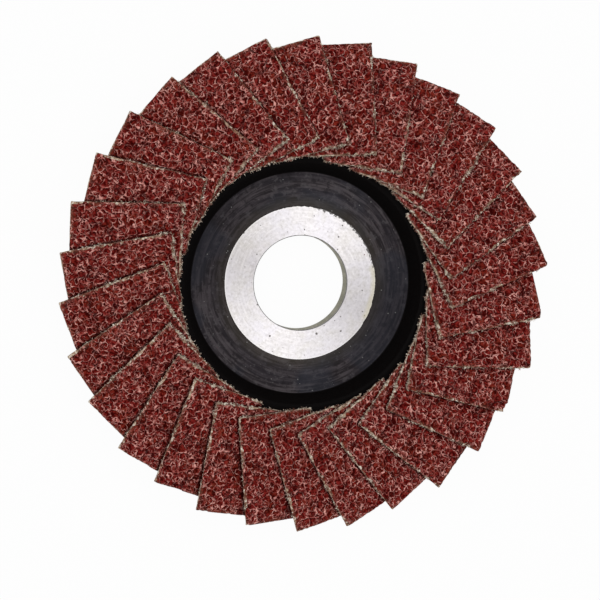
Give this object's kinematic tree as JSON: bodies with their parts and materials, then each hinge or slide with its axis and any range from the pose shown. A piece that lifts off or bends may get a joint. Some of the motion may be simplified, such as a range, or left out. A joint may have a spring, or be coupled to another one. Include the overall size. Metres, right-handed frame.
{
  "type": "flap disc",
  "caption": "Round abrasive disc of overlapping coated-cloth flaps bonded to a black depressed-centre backing plate with a metal bore ring.",
  "frame": {"origin": "on the bore axis at the hub's back face, where the grinder's flange seats", "axes": "+Z along the bore axis towards the abrasive side; +X and +Y lie in the disc's plane, and the first flap heads 15 degrees anticlockwise of +Y seen from +Z"},
  "size_m": [0.1145, 0.1146, 0.0148],
  "materials": {
    "ring_metal": "turned, fine concentric marks",
    "plate_plastic": "moulded black, matte",
    "bond_resin": "dark hardened resin",
    "abrasive_cloth": "coarse red-brown grain on woven cloth"
  },
  "bodies": {
    "root": {"bore_ring": "ring_metal", "backing_plate": "plate_plastic", "adhesive_bed": "bond_resin", "flap_01": "abrasive_cloth", "flap_02": "abrasive_cloth", "flap_03": "abrasive_cloth", "flap_04": "abrasive_cloth", "flap_05": "abrasive_cloth", "flap_06": "abrasive_cloth", "flap_07": "abrasive_cloth", "flap_08": "abrasive_cloth", "flap_09": "abrasive_cloth", "flap_10": "abrasive_cloth", "flap_11": "abrasive_cloth", "flap_12": "abrasive_cloth", "flap_13": "abrasive_cloth", "flap_14": "abrasive_cloth", "flap_15": "abrasive_cloth", "flap_16": "abrasive_cloth", "flap_17": "abrasive_cloth", "flap_18": "abrasive_cloth", "flap_19": "abrasive_cloth", "flap_20": "abrasive_cloth", "flap_21": "abrasive_cloth", "flap_22": "abrasive_cloth", "flap_23": "abrasive_cloth", "flap_24": "abrasive_cloth", "flap_25": "abrasive_cloth", "flap_26": "abrasive_cloth", "flap_27": "abrasive_cloth", "flap_28": "abrasive_cloth", "flap_29": "abrasive_cloth", "flap_30": "abrasive_cloth"}
  },
  "joints": []
}
